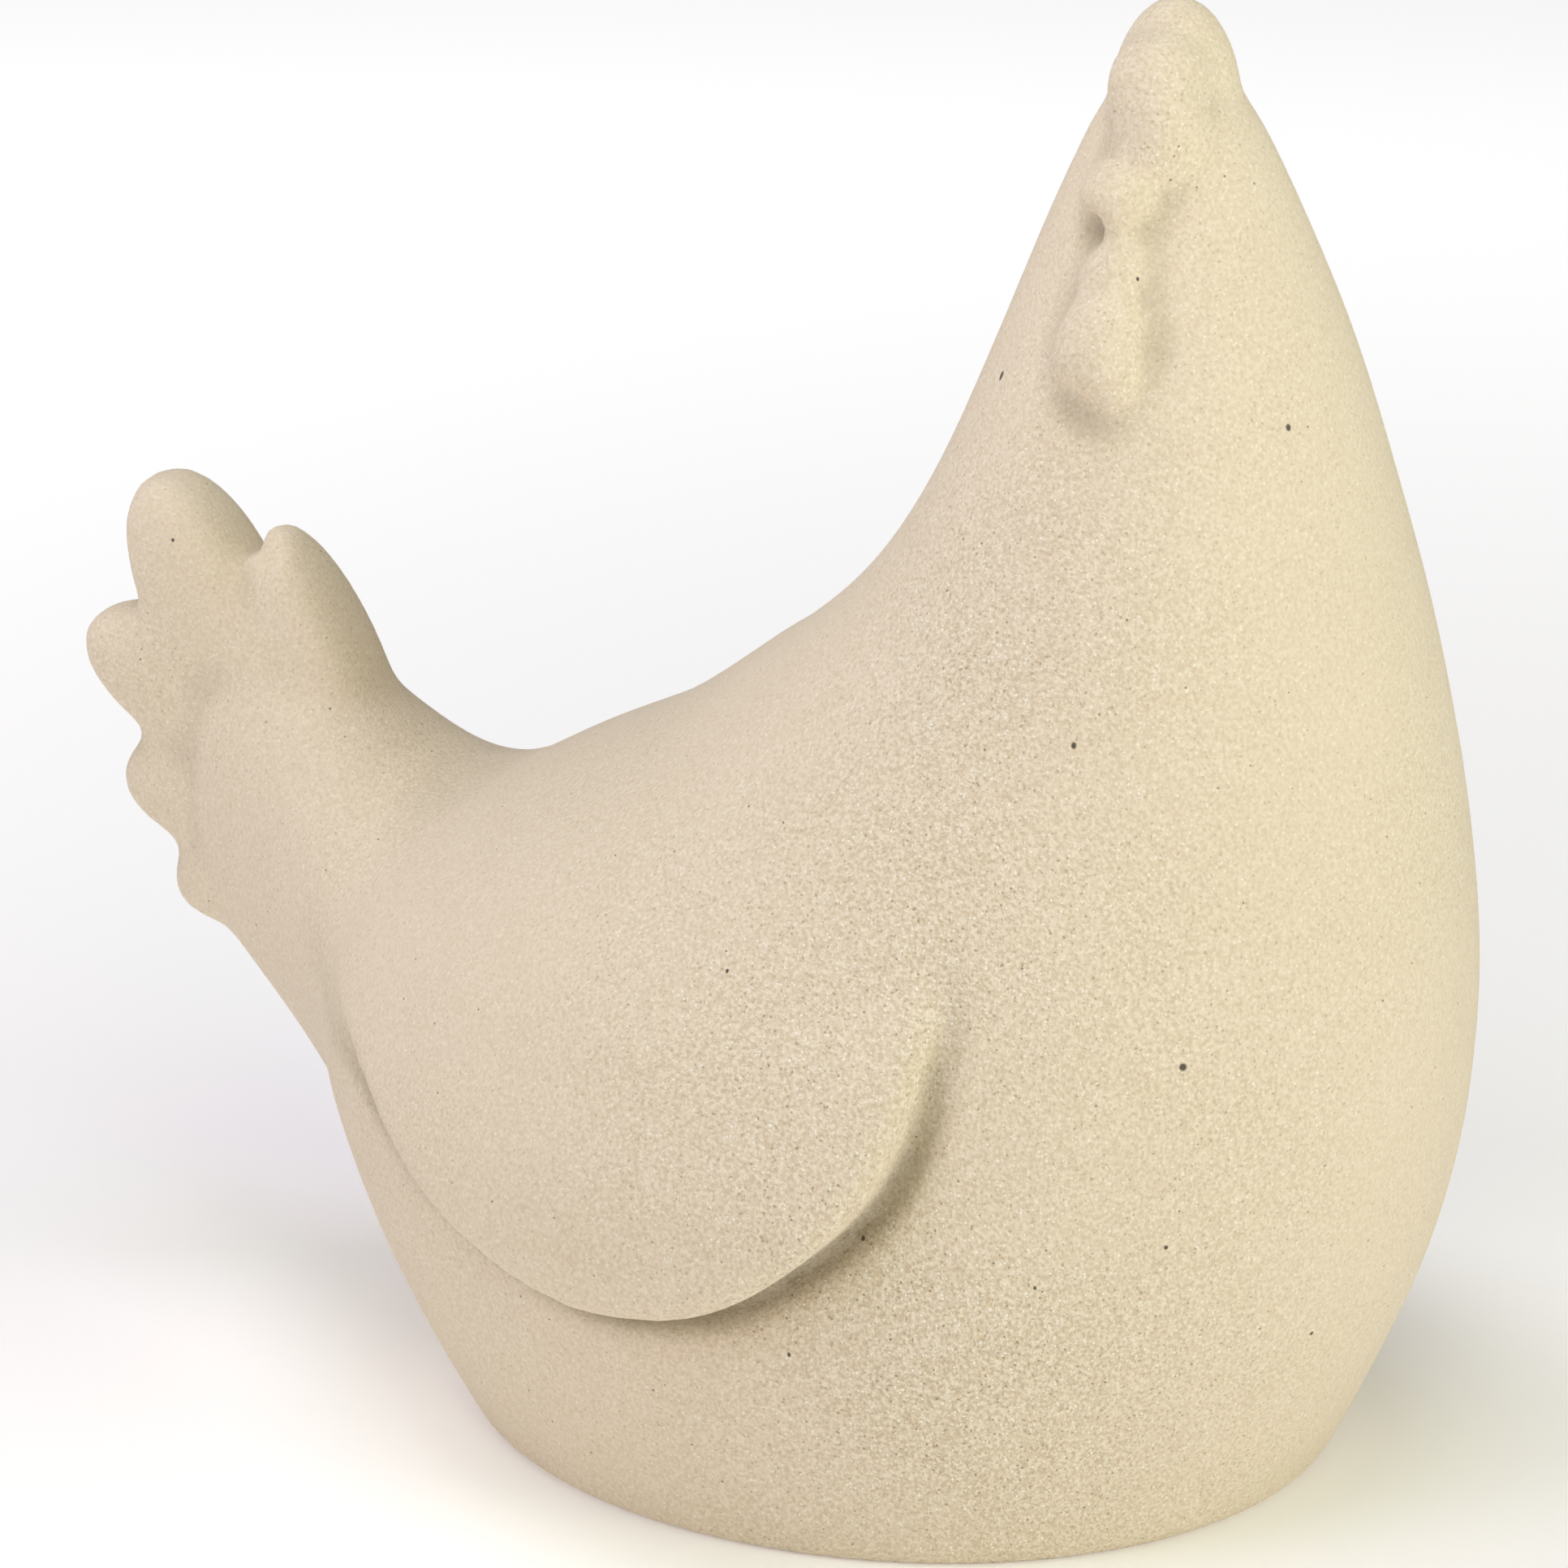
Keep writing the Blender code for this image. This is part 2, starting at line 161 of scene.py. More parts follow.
# Nooks pressed in under comb, beak and wattle and between the front feathers: place, radius and depth
NOOKS = (
    ((0.0272, -0.0102, 0.1436), 0.0022, 0.0008),
    ((0.0258, -0.0136, 0.1348), 0.0022, 0.0012),
    ((0.0262, -0.0202, 0.1196), 0.0024, 0.0008),
    ((0.0285, -0.0210, 0.1186), 0.0028, 0.0010),
    ((0.0335, -0.0180, 0.1245), 0.0030, 0.0007),
    ((-0.0768, -0.0046, 0.0862), 0.0024, 0.0014),
)

# Radius of the sponged edge round the foot
FOOT_ROUNDING = 0.0013

# Casting: wall, ends of the hollow in the neck and in the tail, and the drain hole in the foot
WALL = 0.006
HOLLOW_TOP = 0.124
HOLLOW_TAIL = -0.066
DRAIN_RADIUS = 0.010
DRAIN_PLACE = 0.022

# Fineness: points and rings of a loft, splits of a rounded form, voxels and smoothing steps
RING_POINTS = 192
RINGS = 120
PEBBLE_SPLITS = 5
DRAIN_SIDES = 96
TRUNK_VOXEL, TRUNK_STEPS = 0.0020, 40
FAN_VOXEL, FAN_STEPS = 0.0010, 14
WING_VOXEL, WING_STEPS = 0.0008, 12
HEN_VOXEL, HEN_STEPS = 0.0009, 5
HOLLOW_VOXEL, HOLLOW_STEPS = 0.0030, 12
SOFTENING = 0.5
CLEARANCE = 0.02
SAME_POINT = 0.00001
SHARP_EDGE = math.radians(50)


def shape(mesh, *modifiers):
    """A mesh after a row of modifiers, each given as its type and its settings."""
    item = bpy.data.objects.new("shaping", mesh)
    bpy.context.scene.collection.objects.link(item)
    for kind, settings in modifiers:
        modifier = item.modifiers.new(kind, kind)
        for name, value in settings.items():
            setattr(modifier, name, value)
    bpy.context.view_layer.update()
    evaluated = item.evaluated_get(bpy.context.evaluated_depsgraph_get())
    shaped = bpy.data.meshes.new_from_object(evaluated)
    bpy.data.objects.remove(item)
    return shaped


def fuse(meshes, voxel, steps):
    """Melt overlapping forms into one skin, with fillets where they meet."""
    work = bmesh.new()
    for mesh in meshes:
        work.from_mesh(mesh)
    joined = bpy.data.meshes.new("joined")
    work.to_mesh(joined)
    work.free()
    melt = ("REMESH", {"mode": "VOXEL", "voxel_size": voxel})
    soften = ("SMOOTH", {"factor": SOFTENING, "iterations": steps})
    return shape(joined, melt, soften)


def cut(mesh, cutter, operation="DIFFERENCE"):
    """Take a cutter away from a mesh, or keep only what both hold."""
    guide = bpy.data.objects.new("guide", cutter)
    bpy.context.scene.collection.objects.link(guide)
    result = shape(mesh, ("BOOLEAN", {"object": guide, "operation": operation}))
    bpy.data.objects.remove(guide)
    return result


def smooth_between(table, places):
    """Read the columns of a table at the given places, on smooth curves that don't overshoot."""
    table = np.array(table)
    at, values = table[:, 0], table[:, 1:]
    step = np.diff(at)[:, None]
    rise = np.diff(values, axis=0) / step
    product = rise[:-1] * rise[1:]
    total = np.where(product > 0, rise[:-1] + rise[1:], 1)
    inner = np.where(product > 0, 2 * product / total, 0)
    slope = np.concatenate([rise[:1], inner, rise[-1:]])
    index = np.clip(np.searchsorted(at, places) - 1, 0, len(at) - 2)
    span = step[index]
    part = (places - at[index])[:, None] / span
    start = (1 + 2 * part) * (1 - part) ** 2 * values[index]
    start_slope = part * (1 - part) ** 2 * span * slope[index]
    end = part ** 2 * (3 - 2 * part) * values[index + 1]
    end_slope = part ** 2 * (part - 1) * span * slope[index + 1]
    return start + start_slope + end + end_slope


def loft(rings):
    """Skin a row of closed rings, with a flat cap at each end."""
    work = bmesh.new()
    rows = [[work.verts.new(point) for point in ring] for ring in rings]
    for low, high in zip(rows, rows[1:]):
        for place in range(len(low)):
            after = (place + 1) % len(low)
            work.faces.new((low[place], low[after], high[after], high[place]))
    work.faces.new(rows[0][::-1])
    work.faces.new(rows[-1])
    bmesh.ops.recalc_face_normals(work, faces=work.faces)
    mesh = bpy.data.meshes.new("loft")
    work.to_mesh(mesh)
    work.free()
    return mesh


def level_rings(heights, chest, back, half_width, relief=None):
    """Level ovals, one at each height. relief adds to the half width, by place and height."""
    turn = np.linspace(0, 2 * math.pi, RING_POINTS, endpoint=False)
    for height, front, rear, side in zip(heights, chest, back, half_width):
        along = (front + rear) / 2 + (front - rear) / 2 * np.cos(turn)
        reach = side if relief is None else side + relief(along, height)
        yield [(x, y, height) for x, y in zip(along, reach * np.sin(turn))]


def upright_rings(places, under, top, half_width, squareness=2.0):
    """Rings across the tail, one at each place along X: ovals, or squarer where squareness is over 2."""
    turn = np.linspace(0, 2 * math.pi, RING_POINTS, endpoint=False)
    across = np.sign(np.cos(turn)) * np.abs(np.cos(turn)) ** (2 / squareness)
    upward = np.sign(np.sin(turn)) * np.abs(np.sin(turn)) ** (2 / squareness)
    for place, low, high, side in zip(places, under, top, half_width):
        middle, reach = (high + low) / 2, (high - low) / 2
        yield [(place, side * y, middle + reach * z) for y, z in zip(across, upward)]


def body_form(relief=None):
    """Body and neck as one loft."""
    heights = np.linspace(BODY_SECTIONS[0][0], BODY_SECTIONS[-1][0], RINGS)
    chest, back, half_width = smooth_between(BODY_SECTIONS, heights).T
    return loft(level_rings(heights, chest, back, half_width, relief))


def tail_form(table, squareness):
    """The tail root or the fan's base, as one loft along X."""
    places = np.linspace(table[0][0], table[-1][0], RINGS)
    under, top, half_width = smooth_between(table, places).T
    return loft(upright_rings(places, under, top, half_width, squareness))


def pebble(centre, half_sizes, turn, squareness=2.0):
    """A sphere scaled to its half sizes, with flat sides along Y where squareness is over 2."""
    work = bmesh.new()
    bmesh.ops.create_icosphere(work, subdivisions=PEBBLE_SPLITS, radius=1)
    for vertex in work.verts:
        outward = math.hypot(vertex.co.x, vertex.co.z)
        across = abs(vertex.co.y)
        vertex.co *= (outward ** squareness + across ** squareness) ** (-1 / squareness)
    place = Matrix.Translation(Vector(centre)) @ turn @ Matrix.Diagonal((*half_sizes, 1))
    bmesh.ops.transform(work, matrix=place, verts=work.verts)
    mesh = bpy.data.meshes.new("pebble")
    work.to_mesh(mesh)
    work.free()
    return mesh


def tail_feathers():
    """The fan's lobes, each with its long axis pointing at its tip."""
    lobes = []
    for tip_x, tip_z, direction, half_width, half_thickness, squareness in FEATHERS:
        angle = math.radians(direction)
        along = Vector((math.cos(angle), 0, math.sin(angle)))
        centre = Vector((tip_x, 0, tip_z)) - along * FEATHER_HALF_LENGTH
        half_sizes = (FEATHER_HALF_LENGTH, half_thickness, half_width)
        lobes.append(pebble(centre, half_sizes, Matrix.Rotation(-angle, 4, "Y"), squareness))
    return lobes


def wing_share(along, height):
    """How much of its relief a wing has at a place along X and a height, from 0 to 1."""
    rear, rear_top = WING_FADE_REAR
    front, front_top = WING_FADE_FRONT
    top = rear_top + (along - rear) * (front_top - rear_top) / (front - rear)
    part = np.clip((top - height) / WING_FADE_HEIGHT, 0, 1)
    return part * part * (3 - 2 * part)


def wing_relief(along, height):
    """How far a wing stands out at a place along X and a height."""
    return (WING_RELIEF + WING_SINK) * wing_share(along, height) - WING_SINK


def wing_outline():
    """The wings' side view, pushed through the whole body."""
    outline = bpy.data.curves.new("wing_curve", "CURVE")
    outline.dimensions = "2D"
    outline.fill_mode = "BOTH"
    outline.extrude = max(section[3] for section in BODY_SECTIONS) + CLEARANCE
    outline.resolution_u = 24
    spline = outline.splines.new("BEZIER")
    spline.bezier_points.add(len(WING_OUTLINE) - 1)
    spline.use_cyclic_u = True
    for point, (x, z) in zip(spline.bezier_points, WING_OUTLINE):
        point.co = (x, z, 0)
        point.handle_left_type = "AUTO"
        point.handle_right_type = "AUTO"
    curve = bpy.data.objects.new("wing_curve", outline)
    bpy.context.scene.collection.objects.link(curve)
    bpy.context.view_layer.update()
    mesh = bpy.data.meshes.new_from_object(curve.evaluated_get(bpy.context.evaluated_depsgraph_get()))
    bpy.data.objects.remove(curve)
    mesh.transform(Matrix.Rotation(math.pi / 2, 4, "X"))
    work = bmesh.new()
    work.from_mesh(mesh)
    bmesh.ops.remove_doubles(work, verts=work.verts, dist=SAME_POINT)
    bmesh.ops.recalc_face_normals(work, faces=work.faces)
    work.to_mesh(mesh)
    work.free()
    return mesh


def press_groove(mesh, outline):
    """Press a shallow groove into a body along the wings' outline, deepest at the wing's edge."""
    edge = np.array([(vertex.co.x, vertex.co.z) for vertex in outline.vertices if vertex.co.y > 0])
    points = np.array([vertex.co for vertex in mesh.vertices])
    outward = np.array([vertex.normal for vertex in mesh.vertices])
    away = np.array([((edge - place) ** 2).sum(axis=1).min() for place in points[:, [0, 2]]])
    part = np.clip((points[:, 0] - VALLEY_REAR) / (VALLEY_FRONT - VALLEY_REAR), 0, 1)
    valley = VALLEY_DEPTH * part * part * (3 - 2 * part) * np.exp(-away / VALLEY_WIDTH ** 2)
    depth = CUT_DEPTH * np.exp(-away / CUT_WIDTH ** 2) + valley
    depth *= np.abs(outward[:, 1]) * wing_share(points[:, 0], points[:, 2])
    mesh.vertices.foreach_set("co", (points - outward * depth[:, None]).ravel())
    mesh.update()
    return mesh


def press_nooks(mesh):
    """Press the small nooks under comb, beak and wattle into the finished skin."""
    points = np.array([vertex.co for vertex in mesh.vertices])
    outward = np.array([vertex.normal for vertex in mesh.vertices])
    for place, radius, depth in NOOKS:
        share = np.exp(-((points - place) ** 2).sum(axis=1) / radius ** 2)
        points -= outward * (depth * share)[:, None]
    mesh.vertices.foreach_set("co", points.ravel())
    mesh.update()
    return mesh


def round_foot(mesh):
    """Draw the skin in towards the ground, in a quarter round."""
    points = np.array([vertex.co for vertex in mesh.vertices])
    drop = np.clip(FOOT_ROUNDING - points[:, 2], 0, FOOT_ROUNDING)
    inset = FOOT_ROUNDING - np.sqrt(FOOT_ROUNDING ** 2 - drop ** 2)
    points[:, :2] *= (1 - inset / np.hypot(points[:, 0], points[:, 1]))[:, None]
    mesh.vertices.foreach_set("co", points.ravel())
    mesh.update()
    return mesh


def inset_sections(table, start, end):
    """The columns of a loft at places from start to end, and one wall before and after each."""
    places = np.linspace(start, end, RINGS)
    first, last = table[0][0], table[-1][0]
    shifts = (-WALL, 0, WALL)
    near = np.array([smooth_between(table, np.clip(places + shift, first, last)) for shift in shifts])
    return places, near.min(axis=0), near.max(axis=0)


def hollow_form():
    """The space that the slip leaves when it is poured out: one wall inside body and tail root."""
    heights, least, most = inset_sections(BODY_SECTIONS, WALL, HOLLOW_TOP)
    rings = level_rings(heights, least[:, 0] - WALL, most[:, 1] + WALL, least[:, 2] - WALL)
    body = loft(rings)
    places, least, most = inset_sections(TAIL_SECTIONS, HOLLOW_TAIL, TAIL_SECTIONS[-1][0])
    rings = upright_rings(places, most[:, 0] + WALL, least[:, 1] - WALL, least[:, 2] - WALL)
    return fuse([body, loft(rings)], HOLLOW_VOXEL, HOLLOW_STEPS)


def below_foot():
    """A block with its top at the ground."""
    reach = 2 * (BODY_SECTIONS[0][1] + CLEARANCE)
    work = bmesh.new()
    place = Matrix.Translation((0, 0, -CLEARANCE / 2)) @ Matrix.Diagonal((reach, reach, CLEARANCE, 1))
    bmesh.ops.create_cube(work, matrix=place)
    mesh = bpy.data.meshes.new("below_foot")
    work.to_mesh(mesh)
    work.free()
    return mesh


def drain():
    """The hole in the foot that the slip ran out of."""
    work = bmesh.new()
    bmesh.ops.create_cone(work, cap_ends=True, segments=DRAIN_SIDES, radius1=DRAIN_RADIUS,
                          radius2=DRAIN_RADIUS, depth=2 * CLEARANCE,
                          matrix=Matrix.Translation((DRAIN_PLACE, 0, 0)))
    mesh = bpy.data.meshes.new("drain")
    work.to_mesh(mesh)
    work.free()
    return mesh


outline = wing_outline()
trunk = fuse([body_form(), tail_form(TAIL_SECTIONS, 2.0)], TRUNK_VOXEL, TRUNK_STEPS)
fan = tail_form(FAN_SECTIONS, FAN_SQUARENESS)
tailed = press_groove(fuse([trunk, fan, *tail_feathers()], FAN_VOXEL, FAN_STEPS), outline)
wings = fuse([cut(body_form(wing_relief), outline, "INTERSECT")], WING_VOXEL, WING_STEPS)
head = [pebble(centre, half_sizes, Matrix.Rotation(math.radians(turn), 4, "X"))
        for centre, half_sizes, turn in HEAD_FORMS.values()]
skin = round_foot(press_nooks(fuse([tailed, wings, *head], HEN_VOXEL, HEN_STEPS)))
for cutter in (below_foot(), hollow_form(), drain()):
    skin = cut(skin, cutter)
skin.name = "hen_figurine"
skin.polygons.foreach_set("use_smooth", [True] * len(skin.polygons))
skin.set_sharp_from_angle(angle=SHARP_EDGE)
hen = bpy.data.objects.new("hen_figurine", skin)
bpy.context.scene.collection.objects.link(hen)


def from_hex(text):
    """An sRGB colour as linear red, green, blue and full opacity."""
    parts = [int(text[place:place + 2], 16) / 255 for place in (1, 3, 5)]
    return (*[p / 12.92 if p <= 0.04045 else ((p + 0.055) / 1.055) ** 2.4 for p in parts], 1.0)


def add_node(tree, kind, settings=None, links=None):
    """Add a node, set its properties or sockets, and link sockets of earlier nodes into it."""
    node = tree.nodes.new(kind)
    for name, value in (settings or {}).items():
        if isinstance(name, int) or name in node.inputs:
            node.inputs[name].default_value = value
        else:
            setattr(node, name, value)
    for name, source in (links or {}).items():
        tree.links.new(source, node.inputs[name])
    return node


# Sandy stoneware glaze: a thin matt glaze over fine sand. To the eye it is a warm cream with pale grains,
# small pinholes and a few dark iron specks. The sand shows most on the two flanks and less at chest,
# back and tail, where the glaze is thicker. Hollows and the crease under the wings get painted shade in
# olive brown. Sizes are real ones.
SAND_SIZE = 0.00044
GRAIN_SIZE = 0.00036
GRAIN_WARP = 0.00030
GRAIN_HEIGHT = 0.00008
PINHOLE_SPACING = 0.0030
PINHOLE_RADIUS = 0.00017
MOTTLE_SIZE = 0.016
PATCH_SIZE = 0.030
SANDY_FLANK = (0.026, 0.048, 0.0)
SANDY_REACH = 0.048

# Iron specks seen in the photo: place, half width and half height
SPECKS = (
    ((0.0166, -0.0143, 0.1187), 0.00028, 0.00070),
    ((0.0452, -0.0321, 0.0570), 0.00040, 0.00040),
    ((0.0456, -0.0105, 0.1162), 0.00030, 0.00038),
    ((0.0322, -0.0303, 0.0875), 0.00026, 0.00036),
    ((0.0167, -0.0445, 0.0381), 0.00022, 0.00030),
    ((0.0013, -0.0438, 0.0634), 0.00018, 0.00026),
    ((0.0313, -0.0150, 0.1304), 0.00018, 0.00022),
    ((0.0334, -0.0402, 0.0344), 0.00018, 0.00022),
    ((0.0532, -0.0164, 0.0241), 0.00024, 0.00024),
    ((-0.0863, -0.0057, 0.0855), 0.00020, 0.00022),
    ((0.0094, -0.0463, 0.0248), 0.00020, 0.00024),
    ((0.0442, -0.0330, 0.0381), 0.00022, 0.00024),
)

# How deep each point lies below its surroundings, from 0 to 1, for the painted shade in the hollows
CREVICE_STEPS = 60
CREVICE_DEPTH = 0.0012
HOLLOW_SHADE_SHARE = 0.75
CREASE_PLACE = 0.0016
CREASE_WIDTH = 0.0014
CREASE_SHADE_SHARE = 0.85
points = np.array([vertex.co for vertex in skin.vertices])
outward = np.array([vertex.normal for vertex in skin.vertices])
ends = np.array([edge.vertices for edge in skin.edges])
near_ends = np.concatenate([ends[:, 0], ends[:, 1]])
far_ends = np.concatenate([ends[:, 1], ends[:, 0]])
neighbours = np.bincount(near_ends, minlength=len(points))
level = points
for step in range(CREVICE_STEPS):
    sums = [np.bincount(near_ends, level[far_ends, axis], len(points)) for axis in range(3)]
    level = (level + np.stack(sums, axis=1) / neighbours[:, None]) / 2
depth_share = np.clip(((level - points) * outward).sum(axis=1) / CREVICE_DEPTH, 0, 1)

# Painted shade in the crease under a wing's edge, a little outside its outline
edge = np.array([(vertex.co.x, vertex.co.z) for vertex in outline.vertices if vertex.co.y > 0])
side_view = points[:, [0, 2]]
nearest = np.array([((edge - point) ** 2).sum(axis=1).argmin() for point in side_view])
middle = edge.mean(axis=0)
beyond = np.hypot(*(side_view - middle).T) - np.hypot(*(edge[nearest] - middle).T)
crease_shade = np.exp(-((beyond - CREASE_PLACE) / CREASE_WIDTH) ** 2)
crease_shade *= wing_share(points[:, 0], points[:, 2]) * np.abs(outward[:, 1])
# Painted shade: the hollows and the crease under the wings are darkened in the colour, stored on the skin
painted_shade = np.maximum(HOLLOW_SHADE_SHARE * depth_share, CREASE_SHADE_SHARE * crease_shade)
skin.attributes.new("painted_crevice_shade", "FLOAT", "POINT").data.foreach_set("value", painted_shade)

stoneware = bpy.data.materials.new("sandy_stoneware_glaze")
stoneware.use_nodes = True
tree = stoneware.node_tree
shader = tree.nodes["Principled BSDF"]
shader.inputs["Roughness"].default_value = 0.8
shader.inputs["IOR"].default_value = 1.5
place = add_node(tree, "ShaderNodeTexCoord").outputs["Object"]

# Sockets of a mix node, whose names repeat
SHARE = 0
FIRST_NUMBER = 2
SECOND_NUMBER = 3
MIXED_NUMBER = 0
FIRST_COLOUR = 6
SECOND_COLOUR = 7
MIXED_COLOUR = 2

# Sandiness: full on the two flanks, less away from them, and patchy
spot = add_node(tree, "ShaderNodeSeparateXYZ", links={"Vector": place})
from_middle = add_node(tree, "ShaderNodeMath", {"operation": "ABSOLUTE"}, {0: spot.outputs["Y"]})
plan = add_node(tree, "ShaderNodeCombineXYZ", links={
    "X": spot.outputs["X"], "Y": from_middle.outputs["Value"],
})
from_flank = add_node(tree, "ShaderNodeVectorMath", {"operation": "DISTANCE", 1: SANDY_FLANK}, {
    0: plan.outputs["Vector"],
})
flank = add_node(tree, "ShaderNodeMapRange", {"From Max": SANDY_REACH, "To Min": 1.0, "To Max": 0.4}, {
    "Value": from_flank.outputs["Value"],
})
patches = add_node(tree, "ShaderNodeTexNoise", {"Scale": 1 / PATCH_SIZE, "Detail": 0.0}, {"Vector": place})
patchy = add_node(tree, "ShaderNodeMapRange", {
    "From Min": 0.35, "From Max": 0.65, "To Min": 0.8, "To Max": 1.1,
}, {"Value": patches.outputs["Fac"]})
sandy = add_node(tree, "ShaderNodeMath", {"operation": "MULTIPLY"}, {
    0: flank.outputs["Result"], 1: patchy.outputs["Result"],
})

# Sand: a fine uneven tone, and grains of uneven outline, each a dome in the middle of its cell. One
# random colour a cell picks the pale and the dark grains.
sand = add_node(tree, "ShaderNodeTexNoise", {"Scale": 1 / SAND_SIZE, "Detail": 1.0}, {"Vector": place})
tone = add_node(tree, "ShaderNodeMapRange", {"From Min": 0.3, "From Max": 0.7}, {
    "Value": sand.outputs["Fac"],
})
even_tone = add_node(tree, "ShaderNodeMix", {"data_type": "FLOAT", FIRST_NUMBER: 0.5}, {
    SHARE: sandy.outputs["Value"], SECOND_NUMBER: tone.outputs["Result"],
})
warped = add_node(tree, "ShaderNodeVectorMath", {"operation": "MULTIPLY_ADD", 1: [GRAIN_WARP] * 3}, {
    0: sand.outputs["Color"], 2: place,
})
grains = add_node(tree, "ShaderNodeTexVoronoi", {"Scale": 1 / GRAIN_SIZE}, {
    "Vector": warped.outputs["Vector"],
})
dome = add_node(tree, "ShaderNodeMapRange", {
    "interpolation_type": "SMOOTHSTEP", "From Min": 0.60, "From Max": 0.15,
}, {"Value": grains.outputs["Distance"]})
choice = add_node(tree, "ShaderNodeSeparateColor", links={"Color": grains.outputs["Color"]})
grain_shares = []
for channel, least, most in (("Red", 0.70, 0.95), ("Green", 0.84, 1.0)):
    chosen = add_node(tree, "ShaderNodeMapRange", {"From Min": least, "From Max": most}, {
        "Value": choice.outputs[channel],
    })
    grain = add_node(tree, "ShaderNodeMath", {"operation": "MULTIPLY"}, {
        0: chosen.outputs["Result"], 1: dome.outputs["Result"],
    })
    shown = add_node(tree, "ShaderNodeMath", {"operation": "MULTIPLY"}, {
        0: grain.outputs["Value"], 1: sandy.outputs["Value"],
    })
    grain_shares.append(shown.outputs["Value"])
pale_share, dark_share = grain_shares

# Where the glaze is mottled or has a pinhole, and the painted shade in hollows and creases
mottle = add_node(tree, "ShaderNodeTexNoise", {"Scale": 1 / MOTTLE_SIZE, "Detail": 1.0}, {"Vector": place})
mottle_share = add_node(tree, "ShaderNodeMapRange", {
    "From Min": 0.35, "From Max": 0.65, "To Max": 0.15,
}, {"Value": mottle.outputs["Fac"]})
painted_crevice_shade = add_node(tree, "ShaderNodeAttribute", {"attribute_name": "painted_crevice_shade"})
painted_hollow_shade = add_node(tree, "ShaderNodeMath", {"operation": "MULTIPLY", 1: 0.8}, {
    0: painted_crevice_shade.outputs["Fac"],
})
pinholes = add_node(tree, "ShaderNodeTexVoronoi", {"Scale": 1 / PINHOLE_SPACING}, {"Vector": place})
pinhole_share = add_node(tree, "ShaderNodeMapRange", {
    "From Min": PINHOLE_RADIUS / PINHOLE_SPACING, "From Max": 0.4 * PINHOLE_RADIUS / PINHOLE_SPACING,
    "To Max": 0.85,
}, {"Value": pinholes.outputs["Distance"]})

# Colour: the fine tone of the cream, and one layer over another, each by its share
layers = [
    ("#EBDCC6", mottle_share.outputs["Result"]),
    ("#FFFBEC", pale_share),
    ("#A08C66", dark_share),
    # Painted shade in the hollows and in the crease under the wings, olive brown
    ("#75694A", painted_hollow_shade.outputs["Value"]),
    ("#6B5740", pinhole_share.outputs["Result"]),
]
for speck_place, half_width, half_height in SPECKS:
    inside = add_node(tree, "ShaderNodeMapping", {
        "vector_type": "TEXTURE", "Location": speck_place, "Scale": (half_width, half_width, half_height),
    }, {"Vector": place})
    reach = add_node(tree, "ShaderNodeVectorMath", {"operation": "LENGTH"}, {0: inside.outputs["Vector"]})
    speck_share = add_node(tree, "ShaderNodeMapRange", {"From Min": 1.2, "From Max": 0.7, "To Max": 0.9}, {
        "Value": reach.outputs["Value"],
    })
    layers.append(("#33281E", speck_share.outputs["Result"]))
colour = add_node(tree, "ShaderNodeMix", {
    "data_type": "RGBA", FIRST_COLOUR: from_hex("#CFBD9D"), SECOND_COLOUR: from_hex("#EFE3CB"),
}, {SHARE: even_tone.outputs[MIXED_NUMBER]})
for tint, share in layers:
    colour = add_node(tree, "ShaderNodeMix", {"data_type": "RGBA", SECOND_COLOUR: from_hex(tint)}, {
        SHARE: share, FIRST_COLOUR: colour.outputs[MIXED_COLOUR],
    })
tree.links.new(colour.outputs[MIXED_COLOUR], shader.inputs["Base Color"])

# Relief: the grains stand up a little through the glaze
heap = add_node(tree, "ShaderNodeMath", {"operation": "ADD"}, {
    0: dome.outputs["Result"], 1: tone.outputs["Result"],
})
relief = add_node(tree, "ShaderNodeBump", {"Distance": GRAIN_HEIGHT}, {
    "Strength": sandy.outputs["Value"], "Height": heap.outputs["Value"],
})
tree.links.new(relief.outputs["Normal"], shader.inputs["Normal"])
skin.materials.clear()
skin.materials.append(stoneware)

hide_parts("hen")
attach(hen, "root")

# Floor
# A large pale matt sheet under the hen, so bright that it reads as white. It glows a little, more so
# far behind the hen where the lamps don't reach, so that the white is even.
FLOOR_REACH = 4.0
GLOW_NEAR = 0.06
GLOW_FAR = 0.65
floor_mesh = bpy.data.meshes.new("floor")
work = bmesh.new()
bmesh.ops.create_grid(work, x_segments=1, y_segments=1, size=FLOOR_REACH)
work.to_mesh(floor_mesh)
work.free()
floor = bpy.data.objects.new("floor", floor_mesh)
bpy.context.scene.collection.objects.link(floor)
paper = bpy.data.materials.new("matt_white_paper")
paper.use_nodes = True
paper_shader = paper.node_tree.nodes["Principled BSDF"]
paper_shader.inputs["Base Color"].default_value = from_hex("#F4F3F0")
paper_shader.inputs["Roughness"].default_value = 0.9
paper_shader.inputs["Emission Color"].default_value = from_hex("#FFFFFF")
paper_place = add_node(paper.node_tree, "ShaderNodeTexCoord").outputs["Object"]
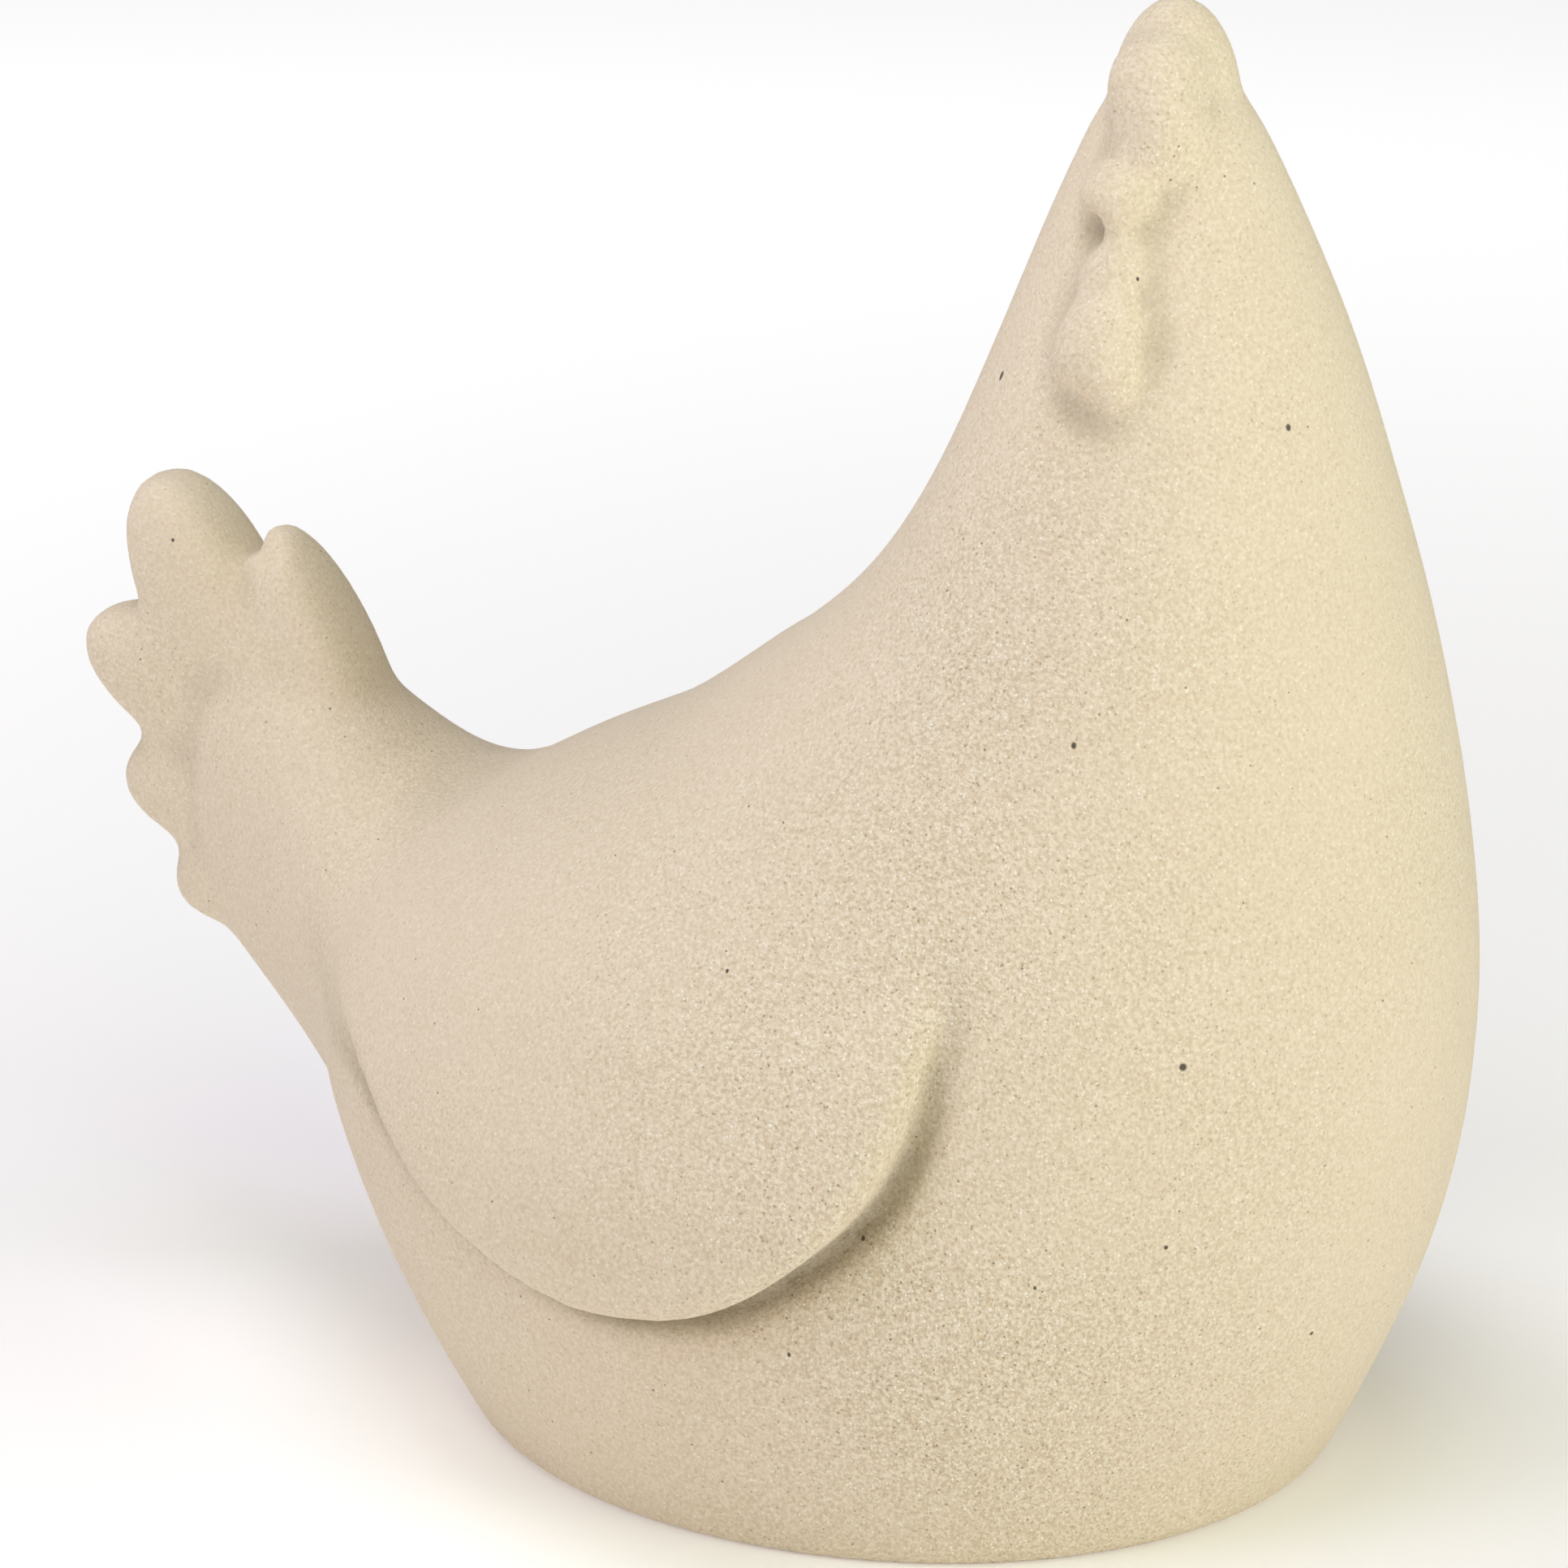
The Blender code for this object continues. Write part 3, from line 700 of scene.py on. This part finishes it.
from_hen = add_node(paper.node_tree, "ShaderNodeVectorMath", {"operation": "LENGTH"}, {0: paper_place})
glow = add_node(paper.node_tree, "ShaderNodeMapRange", {
    "interpolation_type": "SMOOTHSTEP", "From Min": GLOW_NEAR, "From Max": GLOW_FAR,
    "To Min": 0.18, "To Max": 0.66,
}, {"Value": from_hen.outputs["Value"]})
paper.node_tree.links.new(glow.outputs["Result"], paper_shader.inputs["Emission Strength"])
floor_mesh.materials.append(paper)

# Light
# Seven large soft lamps all round, as in a light tent: strongest low at the chest side, from the tail
# side and overhead. Each stands LAMP_DISTANCE from the hen's middle, and is given by its turn from the
# camera's side, its rise, its power in watts and its colour.
LAMP_DISTANCE = 0.9
LAMP_SIZE = 0.5
LAMP_TARGET = Vector((-0.01, 0, 0.07))
LAMPS = {
    "chest_low": (60, 8, 2.80, "#FBFBFF"),
    "chest_side": (60, 30, 1.17, "#F3FFD1"),
    "tail_side": (-60, 30, 2.48, "#EFE8FF"),
    "front": (0, 30, 1.00, "#FFDAC2"),
    "front_high": (0, 55, 1.36, "#E1FFDD"),
    "behind_tail": (-120, 55, 2.28, "#FDFDFF"),
    "overhead": (0, 85, 2.78, "#F3ECFF"),
}
for name, (turn, rise, power, colour) in LAMPS.items():
    lamp = bpy.data.lights.new(name, "AREA")
    lamp.shape = "DISK"
    lamp.size = LAMP_SIZE
    lamp.energy = power
    lamp.color = from_hex(colour)[:3]
    around, up = CAMERA_TURN + math.radians(turn), math.radians(rise)
    away = Vector((math.sin(around) * math.cos(up), -math.cos(around) * math.cos(up), math.sin(up)))
    stand = bpy.data.objects.new(name, lamp)
    stand.location = LAMP_TARGET + away * LAMP_DISTANCE
    stand.rotation_euler = away.to_track_quat("Z", "Y").to_euler()
    bpy.context.scene.collection.objects.link(stand)

# The room is dark: all light comes from the lamps and the glow of the floor.
world = bpy.data.worlds.new("studio")
world.use_nodes = True
world.node_tree.nodes["Background"].inputs["Strength"].default_value = 0
bpy.context.scene.world = world
